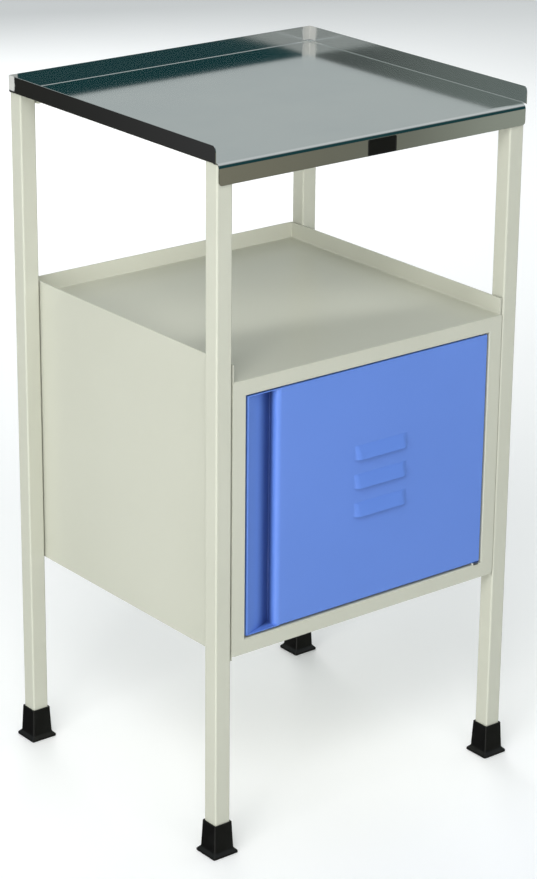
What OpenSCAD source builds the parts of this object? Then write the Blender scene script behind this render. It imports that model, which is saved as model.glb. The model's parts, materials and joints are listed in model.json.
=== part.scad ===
// Hospital bedside cabinet: four square-tube legs carry a stainless tray and a
// sheet-steel locker with one side-hung door. +Z is up, the door faces -Y, and
// the origin is on the floor midway between the legs. All sizes in millimetres.

/* [Overall] */
// Width over the outer faces of the legs
body_w = 418; // [340:1:520]
// Depth over the outer faces of the legs
body_d = 374; // [300:1:480]
// Height from the floor to the rim of the tray
total_h = 800; // [700:1:960]

/* [Legs] */
// Side of the square leg tube
leg_w = 20; // [18:0.5:28]
// Wall of the leg tube
leg_wall = 1.2; // [1:0.1:2]
// Outer corner radius of the leg tube
leg_corner = 2; // [1:0.1:3]

/* [Shoes] */
// Height of a rubber shoe
shoe_h = 38; // [28:1:50]
// Rubber round the tube at the shoe's mouth
shoe_wall = 1.7; // [1.2:0.1:3]
// Rubber round the tube where the body meets the skirt
shoe_body_wall = 3.1; // [2:0.1:5]
// Rubber round the tube at the foot of the skirt
shoe_foot_wall = 6.6; // [4:0.1:9]
// Rubber under the end of the tube
shoe_floor = 5; // [3:0.5:8]
// Straight edge of the foot
shoe_edge_h = 2.5; // [1.5:0.1:4]
// Height of the sloped skirt above the edge
shoe_skirt_h = 3.5; // [2:0.1:6]

/* [Tray] */
// Thickness of the stainless sheet
tray_t = 1; // [0.8:0.1:1.5]
// Rise of the tray's rim above its flat
rim_h = 18; // [12:0.5:30]
// Distance from the tray's flat down to the foot of the front apron
apron_drop = 23.5; // [16:0.5:32]
// Outer radius of the rounded front edge
nose_r = 6; // [3:0.5:8]
// How far the side rims stand outside the legs
rim_proud = 2.5; // [1.5:0.1:5]
// How far the back rim stands inside the backs of the legs
rim_back_inset = 1; // [0:0.1:4]
// Gap between the apron and the fronts of the legs
apron_gap = 1.4; // [0.5:0.1:4]
// Distance from the apron's face back to the ends of the side rims
rim_end_setback = 2; // [1:0.1:4]
// Distance from the rim's outer face in to the apron's end
apron_end_inset = 3.2; // [1.5:0.1:6]
// Radius of the rim's front upper corners
rim_corner_r = 8; // [3:0.5:10]
// Radius of the apron's lower corners
apron_corner_r = 4; // [2:0.5:8]

/* [Tray fixing] */
// Height of the two cross rails under the tray
rail_h = 12; // [10:0.5:18]
// Wall of the cross rails
rail_wall = 1.2; // [1:0.1:2]
// Diameter of the studs welded under the tray
stud_d = 5; // [4:0.5:6]
// Clearance of a stud in its rail hole, across the diameter
stud_clearance = 0.5; // [0.2:0.1:1]
// Distance of each stud from the middle
stud_x = 120; // [60:1:140]
// Thickness of the washers
washer_t = 1; // [0.8:0.1:1.5]
// Outer diameter of the washers
washer_d = 12; // [9:0.5:15]
// Thickness of the nuts
nut_h = 4; // [3:0.5:5]
// Nut size across its flats
nut_flats = 8; // [7:0.5:10]
// Stud end showing below the nut
stud_tip = 1.5; // [0.5:0.5:3]
// Width of the stiffener under the tray, flanges included
stiffener_w = 70; // [50:1:90]
// Width of each stiffener flange
stiffener_flange = 13; // [10:1:18]

/* [Name plate] */
// Width of the blank plate on the apron
plate_w = 38; // [20:1:60]
// Height of the blank plate
plate_h = 17; // [10:0.5:17]
// Thickness of the blank plate
plate_t = 0.8; // [0.4:0.1:1.5]
// Distance of the plate's middle to the right of the cabinet's middle
plate_x = 5; // [-40:1:40]
// Distance from the foot of the apron up to the plate
plate_foot = 0.4; // [0.2:0.1:2]

/* [Locker] */
// Sheet thickness of the locker panels
sheet_t = 1; // [0.8:0.1:1.5]
// Open height between the shelf and the tray
bay_h = 235.5; // [180:0.5:280]
// Height of the shelf's turned-up lips
lip_h = 19; // [10:0.5:30]
// Height from the foot of the front frame to the shelf's top
locker_h = 311.5; // [250:0.5:380]
// How far the side and back panels hang below the front frame
panel_drop = 4.5; // [2:0.5:10]
// Gap between the locker's sides and the legs
leg_gap = 1.5; // [1:0.1:3]
// How far the back panel stands inside the backs of the legs
back_inset = 1.1; // [0.5:0.1:4]
// Height of the floor pan's turned-up edges
floor_flange = 12; // [8:0.5:15]

/* [Front frame] */
// Width of the jambs' faces
jamb_face = 17.2; // [14:0.1:24]
// Height of the head rail's face
head_face = 16.4; // [12:0.1:24]
// Height of the sill's face
sill_face = 17.3; // [12:0.1:24]
// Depth of the frame's folded box section
frame_depth = 31; // [28:0.5:40]
// Sheet thickness of the frame
frame_t = 1.2; // [1:0.1:1.6]
// Radius of the frame's two lower corners
frame_corner_r = 4; // [2:0.5:8]

/* [Weld tabs] */
// Depth of each tab between locker and leg
tab_d = 12; // [8:0.5:14]
// Height of each tab
tab_h = 20; // [12:1:30]
// Distance of a tab from the leg's outer edge
tab_setback = 4; // [2:0.5:6]
// Distance of the tabs from the locker's lower and upper ends
tab_end = 24; // [20:1:60]

/* [Door] */
// Sheet thickness of the door
door_t = 1; // [0.8:0.1:1.2]
// Depth of the door with its turned-back edges
door_depth = 17; // [16:0.5:20]
// How far the door's face sits behind the frame's face
door_setback = 0.8; // [0.5:0.1:2]
// Gap at the door's free edge
gap_free = 3.2; // [2:0.1:5]
// Gap at the door's hinge edge
gap_hinge = 2; // [1.8:0.1:4]
// Gap above the door
gap_top = 1.9; // [1.5:0.1:4]
// Gap below the door
gap_sill = 2.3; // [1.5:0.1:4]
// Outer bend radius of the door's upright edges
door_bend_r = 2; // [1.5:0.1:3]
// Width of the turned-in lip behind the free edge
return_lip = 12; // [10:0.5:16]

/* [Finger pull] */
// Distance from the free edge to the start of the main face
grip_w = 45.6; // [36:0.5:60]
// Depth of the finger pull at its deepest line
grip_depth = 15; // [10:0.5:15]
// Distance from the deepest line to the start of the main face
grip_back = 10.5; // [9:0.5:14]
// Bend radius between the finger pull and the main face
grip_bend_r = 6; // [3:0.5:7]

/* [Louvres] */
// Number of louvres
louvre_count = 3; // [1:1:4]
// Length of a louvre
louvre_len = 77; // [50:0.5:90]
// Length of the slope at each end of a louvre
louvre_end = 8; // [5:0.5:12]
// Height of a louvre
louvre_h = 15.6; // [12:0.2:20]
// How far a louvre stands out of the door
louvre_out = 5; // [3:0.5:5.5]
// Distance from one louvre to the next
louvre_pitch = 33.2; // [24:0.1:40]
// Distance from the door's top to the middle of the first louvre
louvre_top = 96.9; // [60:0.1:110]
// Distance of the louvres' middle to the left of the main face's middle
louvre_left = 7.4; // [-20:0.2:20]
// Solid edge left round the slot behind a louvre
louvre_rim = 3; // [2:0.5:4]

/* [Door stiffener] */
// Distance from the door's foot to the middle of the stiffener
brace_z = 45; // [30:1:60]
// Height of the stiffener with its flanges
brace_h = 40; // [30:1:50]
// Height of each stiffener flange
brace_flange = 9; // [6:0.5:12]
// Depth of the stiffener
brace_d = 10; // [6:0.5:12]

/* [Hinge] */
// Diameter of the pivot pins
pin_d = 6; // [5:0.5:8]
// Radial running clearance of the pins
pin_clearance = 0.05; // [0.02:0.01:0.1]
// Extra clearance of a pin in the thin edge of the door, across the diameter
edge_clearance = 0.6; // [0.4:0.1:1]
// Distance of the pivot line from the door's hinge edge
pivot_in = 6; // [5.5:0.1:7]
// Gap between a pin and the back of the sheet of the door's face
pin_face_gap = 0; // [0:0.1:0.5]
// Thickness of the pivot plates inside the door
pivot_plate_t = 3; // [2:0.5:5]
// Depth of the pivot plates
pivot_plate_d = 13; // [11:0.5:14]
// Length of the pivot plates towards the free edge
pivot_plate_l = 16; // [12:1:30]
// How far a pin stands out of its pivot plate
pin_tip = 3; // [1:0.5:6]
// Outer diameter of the thrust washer
thrust_d = 12; // [10:0.5:14]
// Free height above the thrust washer
thrust_gap = 0.1; // [0.05:0.05:0.3]

/* [Catch] */
// Height of the catch body
catch_h = 44; // [36:1:60]
// Width of the catch body
catch_w = 15; // [13:0.5:16]
// Height of the strike plate and the magnet
strike_h = 30; // [24:1:34]
// Width of the strike plate
strike_w = 10; // [8:0.5:10]
// Thickness of the strike plate
strike_t = 1.2; // [0.8:0.1:1.5]
// Air gap between the strike plate and the pole plates
catch_gap = 0.2; // [0.2:0.1:0.6]
// How far the pole plates stand out of the catch body
pole_out = 0.6; // [0.4:0.1:1]
// Thickness of each pole plate
pole_t = 1.5; // [1:0.1:2]
// Thickness of the magnet between the pole plates
magnet_t = 5; // [4:0.5:6]
// Depth of the magnet's pocket in the catch body
pocket_d = 7; // [5:0.5:8]
// Diameter of the catch screws
screw_d = 3; // [2.5:0.5:4]
// Diameter of the catch screws' heads
screw_head_d = 6; // [5:0.5:7]
// Height of the catch screws' heads
screw_head_h = 2; // [1.5:0.5:3]

/* [Door stops] */
// Thickness of the catch bracket and the stop tabs
bracket_t = 1.2; // [1:0.1:2]
// Height of a stop tab
stop_h = 20; // [14:1:28]
// Distance of the stop tabs from the door's foot and top
stop_end = 42; // [36:1:60]
// Diameter of the rubber buffers
buffer_d = 8; // [6:0.5:10]
// Diameter of the buffers' stems
buffer_stem_d = 4; // [3:0.5:5]
// Gap between a buffer and the closed door
buffer_gap = 0.3; // [0.2:0.1:1]

/* [Hidden] */
$fn = 64;
cut = 0.5;            // overshoot of a cutting shape past the face it opens
bend_steps = 6;       // straight facets in a right-angled bend of the door

// places across the cabinet (X)
leg_out_x = body_w / 2;
leg_in_x = leg_out_x - leg_w;
leg_mid_x = leg_out_x - leg_w / 2;
rim_x = leg_out_x + rim_proud;
panel_x = leg_in_x - leg_gap;
panel_in_x = panel_x - sheet_t;
open_x = panel_x - jamb_face;

// places along the depth (Y)
leg_out_y = body_d / 2;
leg_in_y = leg_out_y - leg_w;
leg_mid_y = leg_out_y - leg_w / 2;
apron_y = -leg_out_y - apron_gap - tray_t;
nose_y = apron_y + nose_r;
rim_front_y = apron_y + rim_end_setback;
rim_back_y = leg_out_y - rim_back_inset;
frame_y = -leg_out_y;
frame_back_y = frame_y + frame_depth;
panel_front_y = frame_y + frame_t;
rail_in_y = -nose_y - leg_w;
rail_mid_y = -nose_y - leg_w / 2;
back_y = leg_out_y - back_inset;
back_in_y = back_y - sheet_t;

// levels (Z)
tray_z = total_h - rim_h;
tray_under_z = tray_z - tray_t;
nose_z = tray_z - nose_r;
apron_foot_z = tray_z - apron_drop;
rail_z = tray_under_z - rail_h;
shelf_z = tray_under_z - bay_h;
shelf_under_z = shelf_z - sheet_t;
lip_z = shelf_z + lip_h;
frame_foot_z = shelf_z - locker_h;
panel_foot_z = frame_foot_z - panel_drop;
open_top_z = shelf_under_z - head_face;
open_foot_z = frame_foot_z + sill_face;
floor_z = frame_foot_z + sheet_t;

// door
door_x0 = -open_x + gap_free;
door_x1 = open_x - gap_hinge;
door_z0 = open_foot_z + gap_sill;
door_z1 = open_top_z - gap_top;
door_y = frame_y + door_setback;
door_back_y = door_y + door_depth;
main_x0 = door_x0 + grip_w;
louvre_x = (main_x0 + door_x1) / 2 - louvre_left;
pivot_x = door_x1 - pivot_in;
pivot_y = door_y + door_t + pin_face_gap + pin_d / 2;
bore_d = pin_d + 2 * pin_clearance;
pivot_plate_y = door_y + door_bend_r;

// louvre arc: it leaves the door's face at the top and stands out at the foot
louvre_c = (louvre_h * louvre_h - louvre_out * louvre_out) / (2 * louvre_out);
louvre_r = louvre_c + louvre_out;

// catch and stops, behind the turned-in lip of the free edge
strike_mid_x = door_x0 + return_lip / 2 + door_t / 2;
catch_mid_z = (door_z0 + door_z1) / 2;
pole_y = door_back_y + strike_t + catch_gap;
catch_y = pole_y + pole_out;
bracket_x1 = strike_mid_x + catch_w / 2;

// a block between two opposite corners
module block(a, b) {
    translate(a)
        cube(b - a);
}

// a square with four round corners, exact arcs
module round_square(w, r) {
    square([w, w - 2 * r], center = true);
    square([w - 2 * r, w], center = true);
    for (x = [-1, 1], y = [-1, 1])
        translate([x * (w / 2 - r), y * (w / 2 - r)])
            circle(r);
}

// an outline in X and Z, given its length along Y
module along_y(y0, y1) {
    translate([0, y1, 0])
        rotate([90, 0, 0])
            linear_extrude(y1 - y0)
                children();
}

// an outline in Y and Z, given its length along X
module along_x(x0, x1) {
    translate([x0, 0, 0])
        rotate([90, 0, 90])
            linear_extrude(x1 - x0)
                children();
}

// a rectangle between two opposite corners
module rect(a, b) {
    translate(a)
        square(b - a);
}

// a hollow rectangle with a wall t
module rect_ring(a, b, t) {
    difference() {
        rect(a, b);
        rect(a + [t, t], b - [t, t]);
    }
}

// the waste outside a round corner at p; sx and sy point out of the corner
module corner_waste(p, r, sx, sy) {
    difference() {
        translate(p + [sx * (cut - r) / 2, sy * (cut - r) / 2])
            square(r + cut, center = true);
        translate(p - [sx * r, sy * r])
            circle(r);
    }
}

// a bar with sloped sides, w0 wide at its foot and w1 at its top
module sloped_bar(w0, w1, h) {
    rotate([90, 0, 0])
        linear_extrude(max(w0, w1) + 2 * cut, center = true)
            polygon([[-w0 / 2, 0], [w0 / 2, 0], [w1 / 2, h], [-w1 / 2, h]]);
}

// a square pyramid stump
module stump(w0, w1, h) {
    intersection() {
        sloped_bar(w0, w1, h);
        rotate([0, 0, 90])
            sloped_bar(w0, w1, h);
    }
}

// points of an arc from angle a0 to a1
function arc(c, r, a0, a1, n) =
    [for (i = [0:n]) c + r * [cos(a0 + (a1 - a0) * i / n), sin(a0 + (a1 - a0) * i / n)]];

function unit(v) = v / norm(v);
function left_of(v) = [-v[1], v[0]];

// the path p moved by t to the left of its direction of travel
function offset_path(p, t) = [
    for (i = [0:len(p) - 1])
        let (
            into = unit(i == 0 ? p[1] - p[0] : p[i] - p[i - 1]),
            out = unit(i == len(p) - 1 ? p[i] - p[i - 1] : p[i + 1] - p[i]),
            n1 = left_of(into),
            n2 = left_of(out)
        )
        p[i] + t * (n1 + n2) / (1 + n1 * n2)
];

function reversed(p) = [for (i = [len(p) - 1:-1:0]) p[i]];

// ---------- legs and shoes ----------
// waste above a straight cut that keeps a front leg's top clear of the tray's front bend
module nose_relief() {
    bend_r = nose_r - tray_t;
    reach = bend_r - apron_gap;
    low = [-leg_out_y, tray_under_z - bend_r + sqrt(bend_r * bend_r - reach * reach)];
    high = [nose_y, tray_under_z];
    past = (high - low) * 0.2;
    polygon([low - past, high + past, [low[0] - past[0], high[1] + past[1] + cut]]);
}

module leg(sx, sy) {
    color("ivory")
        difference() {
            translate([sx * leg_mid_x, sy * leg_mid_y, shoe_floor])
                linear_extrude(tray_under_z - shoe_floor)
                    difference() {
                        round_square(leg_w, leg_corner);
                        round_square(leg_w - 2 * leg_wall, leg_corner - leg_wall / 2);
                    }
            if (sy < 0)
                along_x(sx * leg_mid_x - leg_w, sx * leg_mid_x + leg_w)
                    nose_relief();
        }
}

module shoe(sx, sy) {
    body_w0 = leg_w + 2 * shoe_body_wall;
    foot_w = leg_w + 2 * shoe_foot_wall;
    body_z = shoe_edge_h + shoe_skirt_h;
    color("black")
        translate([sx * leg_mid_x, sy * leg_mid_y, 0])
            difference() {
                union() {
                    linear_extrude(shoe_edge_h)
                        square(foot_w, center = true);
                    translate([0, 0, shoe_edge_h])
                        stump(foot_w, body_w0, shoe_skirt_h);
                    translate([0, 0, body_z])
                        stump(body_w0, leg_w + 2 * shoe_wall, shoe_h - body_z);
                }
                translate([0, 0, shoe_floor])
                    linear_extrude(shoe_h)
                        square(leg_w, center = true);
            }
}

// ---------- tray ----------
module side_rim(sx) {
    difference() {
        block([sx * rim_x - tray_t / 2 - sx * tray_t / 2, rim_front_y, tray_under_z],
              [sx * rim_x + tray_t / 2 - sx * tray_t / 2, rim_back_y, total_h]);
        along_x(sx * rim_x - 2 * tray_t, sx * rim_x + 2 * tray_t)
            corner_waste([rim_front_y, total_h], rim_corner_r, -1, 1);
    }
}

module apron_section() {
    rect([apron_y, apron_foot_z], [apron_y + tray_t, nose_z]);
    intersection() {
        difference() {
            translate([nose_y, nose_z])
                circle(nose_r);
            translate([nose_y, nose_z])
                circle(nose_r - tray_t);
        }
        rect([apron_y, nose_z], [nose_y, tray_z]);
    }
}

module top_tray() {
    apron_x = rim_x - apron_end_inset;
    color("silver") {
        block([-rim_x, nose_y, tray_under_z], [rim_x, rim_back_y, tray_z]);
        block([-rim_x, rim_back_y - tray_t, tray_under_z], [rim_x, rim_back_y, total_h]);
        for (sx = [-1, 1])
            side_rim(sx);
        difference() {
            along_x(-apron_x, apron_x)
                apron_section();
            for (sx = [-1, 1])
                along_y(apron_y - cut, apron_y + tray_t + cut)
                    corner_waste([sx * apron_x, apron_foot_z], apron_corner_r, sx, -1);
        }
    }
}

module tray_rail(sy) {
    y0 = sy > 0 ? rail_in_y : nose_y;
    color("ivory")
        difference() {
            along_x(-leg_in_x, leg_in_x)
                rect_ring([y0, rail_z], [y0 + leg_w, tray_under_z], rail_wall);
            for (sx = [-1, 1])
                translate([sx * stud_x, sy * rail_mid_y, rail_z - cut])
                    cylinder(h = rail_h + 2 * cut, d = stud_d + stud_clearance);
        }
}

module tray_stiffener() {
    half = stiffener_w / 2;
    web = half - stiffener_flange;
    color("silver")
        along_y(-rail_in_y, rail_in_y) {
            for (sx = [-1, 1]) {
                mirror([sx < 0 ? 1 : 0, 0]) {
                    rect([web, tray_under_z - tray_t], [half, tray_under_z]);
                    rect([web, rail_z], [web + tray_t, tray_under_z]);
                }
            }
            rect([-web - tray_t, rail_z], [web + tray_t, rail_z + tray_t]);
        }
}

module at_studs() {
    for (sx = [-1, 1], sy = [-1, 1])
        translate([sx * stud_x, sy * rail_mid_y, 0])
            children();
}

module tray_studs() {
    foot = rail_z - washer_t - nut_h - stud_tip;
    color("silver")
        at_studs()
            translate([0, 0, foot])
                cylinder(h = tray_under_z - foot, d = stud_d);
}

module tray_nuts() {
    color("silver")
        at_studs()
            difference() {
                union() {
                    translate([0, 0, rail_z - washer_t])
                        cylinder(h = washer_t, d = washer_d);
                    translate([0, 0, rail_z - washer_t - nut_h])
                        cylinder(h = nut_h, d = nut_flats / cos(30), $fn = 6);
                }
                translate([0, 0, rail_z - washer_t - nut_h - cut])
                    cylinder(h = nut_h + washer_t + 2 * cut, d = stud_d);
            }
}

module name_plate() {
    foot = apron_foot_z + plate_foot;
    color("black")
        block([plate_x - plate_w / 2, apron_y - plate_t, foot],
              [plate_x + plate_w / 2, apron_y, foot + plate_h]);
}

// ---------- locker ----------
module shelf_pan() {
    color("ivory") {
        block([-panel_in_x, panel_front_y, shelf_under_z], [panel_in_x, back_in_y, shelf_z]);
        block([-panel_x, frame_y, shelf_under_z], [panel_x, panel_front_y, shelf_z]);
        block([-panel_in_x, back_in_y - sheet_t, shelf_under_z], [panel_in_x, back_in_y, lip_z]);
        for (x0 = [-panel_in_x, panel_in_x - sheet_t])
            block([x0, panel_front_y, shelf_under_z], [x0 + sheet_t, back_in_y, lip_z]);
    }
}

module side_panel(sx) {
    x0 = sx > 0 ? panel_in_x : -panel_x;
    color("ivory")
        block([x0, panel_front_y, panel_foot_z], [x0 + sheet_t, back_in_y, lip_z]);
}

module back_panel() {
    color("ivory")
        block([-panel_x, back_in_y, panel_foot_z], [panel_x, back_y, lip_z]);
}

module floor_pan() {
    top = floor_z + floor_flange;
    color("ivory") {
        block([-panel_in_x, frame_back_y, frame_foot_z], [panel_in_x, back_in_y, floor_z]);
        for (y0 = [frame_back_y, back_in_y - sheet_t])
            block([-panel_in_x, y0, frame_foot_z], [panel_in_x, y0 + sheet_t, top]);
        for (x0 = [-panel_in_x, panel_in_x - sheet_t])
            block([x0, frame_back_y, frame_foot_z], [x0 + sheet_t, back_in_y, top]);
    }
}

// ---------- front frame ----------
module frame_jamb(sx) {
    color("ivory")
        mirror([sx < 0 ? 1 : 0, 0, 0])
            difference() {
                translate([0, 0, frame_foot_z])
                    linear_extrude(shelf_under_z - frame_foot_z) {
                        rect_ring([open_x, frame_y], [panel_in_x, frame_back_y], frame_t);
                        rect([panel_in_x - frame_t, frame_y], [panel_x, panel_front_y]);
                    }
                along_y(frame_y - cut, frame_back_y + cut)
                    corner_waste([panel_x, frame_foot_z], frame_corner_r, 1, -1);
            }
}

module frame_rail(z0, z1, hole_z) {
    color("ivory")
        difference() {
            along_x(-open_x, open_x)
                rect_ring([frame_y, z0], [frame_back_y, z1], frame_t);
            translate([pivot_x, pivot_y, hole_z - cut])
                cylinder(h = frame_t + 2 * cut, d = pin_d);
        }
}

module frame_head() {
    frame_rail(open_top_z, shelf_under_z, open_top_z);
}

module frame_sill() {
    frame_rail(frame_foot_z, open_foot_z, open_foot_z - frame_t);
}

module weld_tabs() {
    y0 = leg_out_y - tab_setback - tab_d;
    color("ivory")
        for (x0 = [-leg_in_x, panel_x], z0 = [panel_foot_z + tab_end, lip_z - tab_end - tab_h])
            for (y = [y0, -y0 - tab_d])
                block([x0, y, z0], [x0 + leg_gap, y + tab_d, z0 + tab_h]);
}

// ---------- hinge ----------
module hinge_pin(z0, z1) {
    color("silver")
        translate([pivot_x, pivot_y, z0])
            cylinder(h = z1 - z0, d = pin_d);
}

module hinge_pin_upper() {
    hinge_pin(door_z1 - door_t - pivot_plate_t - pin_tip, shelf_under_z - frame_t);
}

module hinge_pin_lower() {
    hinge_pin(frame_foot_z + frame_t, door_z0 + door_t + pivot_plate_t + pin_tip);
}

module thrust_washer() {
    color("silver")
        translate([pivot_x, pivot_y, open_foot_z])
            difference() {
                cylinder(h = gap_sill - thrust_gap, d = thrust_d);
                translate([0, 0, -cut])
                    cylinder(h = gap_sill + 2 * cut, d = bore_d);
            }
}

module pivot_plate(z0) {
    color("silver")
        difference() {
            block([pivot_x - pivot_plate_l, pivot_plate_y, z0],
                  [door_x1 - door_bend_r, pivot_plate_y + pivot_plate_d, z0 + pivot_plate_t]);
            translate([pivot_x, pivot_y, z0 - cut])
                cylinder(h = pivot_plate_t + 2 * cut, d = bore_d);
        }
}

module pivot_plate_upper() {
    pivot_plate(door_z1 - door_t - pivot_plate_t);
}

module pivot_plate_lower() {
    pivot_plate(door_z0 + door_t);
}

// ---------- catch and stops ----------
module at_catch_screws() {
    for (s = [-1, 1])
        translate([strike_mid_x, frame_back_y, catch_mid_z + s * (catch_h + strike_h) / 4])
            rotate([-90, 0, 0])
                children();
}

module catch_bracket() {
    color("ivory")
        difference() {
            block([-panel_in_x, frame_back_y, catch_mid_z - catch_h / 2],
                  [bracket_x1, frame_back_y + bracket_t, catch_mid_z + catch_h / 2]);
            at_catch_screws()
                translate([0, 0, -cut])
                    cylinder(h = bracket_t + 2 * cut, d = screw_d);
        }
}

module catch_body() {
    pocket_w = magnet_t + 2 * pole_t;
    color("white")
        difference() {
            block([strike_mid_x - catch_w / 2, catch_y, catch_mid_z - catch_h / 2],
                  [bracket_x1, frame_back_y, catch_mid_z + catch_h / 2]);
            block([strike_mid_x - pocket_w / 2, catch_y - cut, catch_mid_z - strike_h / 2],
                  [strike_mid_x + pocket_w / 2, catch_y + pocket_d, catch_mid_z + strike_h / 2]);
            at_catch_screws()
                translate([0, 0, catch_y - frame_back_y - cut])
                    cylinder(h = frame_back_y - catch_y + 2 * cut, d = screw_d);
        }
}

module catch_magnet() {
    color("dimgray") {
        block([strike_mid_x - magnet_t / 2, catch_y, catch_mid_z - strike_h / 2],
              [strike_mid_x + magnet_t / 2, catch_y + pocket_d, catch_mid_z + strike_h / 2]);
        for (x0 = [-magnet_t / 2 - pole_t, magnet_t / 2])
            block([strike_mid_x + x0, pole_y, catch_mid_z - strike_h / 2],
                  [strike_mid_x + x0 + pole_t, catch_y + pocket_d, catch_mid_z + strike_h / 2]);
    }
}

module catch_screws() {
    color("silver")
        at_catch_screws() {
            translate([0, 0, bracket_t])
                cylinder(h = screw_head_h, d = screw_head_d);
            translate([0, 0, catch_y - frame_back_y])
                cylinder(h = bracket_t - catch_y + frame_back_y, d = screw_d);
        }
}

module at_stops() {
    for (z = [door_z0 + stop_end, door_z1 - stop_end])
        translate([strike_mid_x, frame_back_y, z])
            children();
}

module stop_tabs() {
    color("ivory")
        at_stops()
            difference() {
                block([-panel_in_x - strike_mid_x, 0, -stop_h / 2],
                      [buffer_d / 2 + 2, bracket_t, stop_h / 2]);
                translate([0, -cut, 0])
                    rotate([-90, 0, 0])
                        cylinder(h = bracket_t + 2 * cut, d = buffer_stem_d);
            }
}

module door_buffers() {
    face = door_back_y + buffer_gap - frame_back_y;
    color("dimgray")
        at_stops()
            rotate([-90, 0, 0]) {
                translate([0, 0, face])
                    cylinder(h = -face, d = buffer_d);
                cylinder(h = bracket_t, d = buffer_stem_d);
                translate([0, 0, bracket_t])
                    cylinder(h = bracket_t, d = buffer_d);
            }
}

module strike_plate() {
    color("silver")
        block([strike_mid_x - strike_w / 2, door_back_y, catch_mid_z - strike_h / 2],
              [strike_mid_x + strike_w / 2, door_back_y + strike_t, catch_mid_z + strike_h / 2]);
}

// ---------- door ----------
// round corners of the door's outline, at the free edge and the hinge edge
edge_c = [door_x0 + door_bend_r, door_y + door_bend_r];
hinge_c = [door_x1 - door_bend_r, door_y + door_bend_r];
edge_corner = arc(edge_c, door_bend_r, 180, 270, bend_steps);
hinge_corner = arc(hinge_c, door_bend_r, 270, 360, bend_steps);

// line of the finger pull, from the free edge's corner to the main face
function grip_path() =
    let (
        deep = [main_x0 - grip_back, door_y + grip_depth],
        edge_to = deep - edge_c,
        slope = atan2(edge_to[1], edge_to[0]) + asin(door_bend_r / norm(edge_to)),
        main_c = [main_x0, door_y + grip_bend_r],
        main_to = deep - main_c,
        riser = atan2(main_to[1], main_to[0]) + acos(grip_bend_r / norm(main_to))
    )
    concat(
        [for (i = [1:2]) edge_c + door_bend_r * [cos(270 + slope * i / 2), sin(270 + slope * i / 2)]],
        [deep],
        arc(main_c, grip_bend_r, riser < 0 ? riser + 360 : riser, 270, bend_steps)
    );

// front line of the door's sheet, from the free edge to the hinge edge
function door_path() = concat(
    [[door_x0, door_back_y]], edge_corner, grip_path(), hinge_corner, [[door_x1, door_back_y]]
);

module door_edge(z0) {
    translate([0, 0, z0])
        linear_extrude(door_t)
            difference() {
                polygon(concat(
                    [[door_x0, door_back_y]], edge_corner, hinge_corner, [[door_x1, door_back_y]]
                ));
                translate([pivot_x, pivot_y])
                    circle(d = pin_d + edge_clearance);
            }
}

// a solid louvre shape, drawn in from its outside by t
module louvre_form(t) {
    half = louvre_len / 2 - t;
    intersection() {
        along_x(-half, half)
            intersection() {
                translate([door_y + louvre_c, -louvre_h / 2])
                    circle(louvre_r - t);
                rect([door_y - louvre_out, -louvre_h / 2], [door_y, louvre_h / 2]);
            }
        translate([0, 0, -louvre_h])
            linear_extrude(2 * louvre_h)
                polygon([[-half, door_y], [half, door_y],
                         [half - louvre_end, door_y - louvre_out],
                         [louvre_end - half, door_y - louvre_out]]);
    }
}

module louvre_hood() {
    difference() {
        louvre_form(0);
        louvre_form(door_t);
    }
}

module at_louvres() {
    for (i = [0:louvre_count - 1])
        translate([louvre_x, 0, door_z1 - louvre_top - i * louvre_pitch])
            children();
}

module door_skin() {
    front = door_path();
    slot_x = louvre_len / 2 - louvre_rim;
    color("cornflowerblue") {
        difference() {
            translate([0, 0, door_z0])
                linear_extrude(door_z1 - door_z0)
                    polygon(concat(front, reversed(offset_path(front, door_t))));
            at_louvres()
                block([-slot_x, door_y - cut, door_t - louvre_h / 2],
                      [slot_x, door_y + door_t + cut, louvre_h / 2 - 2 * louvre_rim]);
        }
        for (z0 = [door_z0, door_z1 - door_t])
            door_edge(z0);
        block([door_x0, door_back_y - door_t, door_z0],
              [door_x0 + return_lip, door_back_y, door_z1]);
        at_louvres()
            louvre_hood();
    }
}

module door_stiffener() {
    web = brace_h / 2 - brace_flange;
    skin_y = door_y + door_t;
    color("cornflowerblue")
        translate([0, 0, door_z0 + brace_z])
            along_x(main_x0 + door_t, door_x1 - door_bend_r) {
                for (sz = [0, 1])
                    mirror([0, sz]) {
                        rect([skin_y, web], [skin_y + door_t, web + brace_flange]);
                        rect([skin_y, web], [skin_y + brace_d, web + door_t]);
                    }
                rect([skin_y + brace_d - door_t, -web], [skin_y + brace_d, web]);
            }
}

leg(-1, -1);  // leg_front_left
leg(1, -1);  // leg_front_right
leg(-1, 1);  // leg_back_left
leg(1, 1);  // leg_back_right
shoe(-1, -1);  // shoe_front_left
shoe(1, -1);  // shoe_front_right
shoe(-1, 1);  // shoe_back_left
shoe(1, 1);  // shoe_back_right
top_tray();
tray_rail(-1);  // tray_rail_front
tray_rail(1);  // tray_rail_back
tray_stiffener();
tray_studs();
tray_nuts();
name_plate();
shelf_pan();
side_panel(-1);  // side_panel_left
side_panel(1);  // side_panel_right
back_panel();
floor_pan();
frame_jamb(-1);  // frame_jamb_left
frame_jamb(1);  // frame_jamb_right
frame_head();
frame_sill();
weld_tabs();
hinge_pin_upper();
hinge_pin_lower();
thrust_washer();
catch_bracket();
catch_body();
catch_magnet();
catch_screws();
stop_tabs();
door_buffers();
door_skin();
door_stiffener();
pivot_plate_upper();
pivot_plate_lower();
strike_plate();
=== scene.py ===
"""Hospital bedside cabinet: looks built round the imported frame. Metres, +Z up, door towards -Y."""

import json
import math

import bmesh
import bpy
from mathutils import Matrix, Vector


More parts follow.
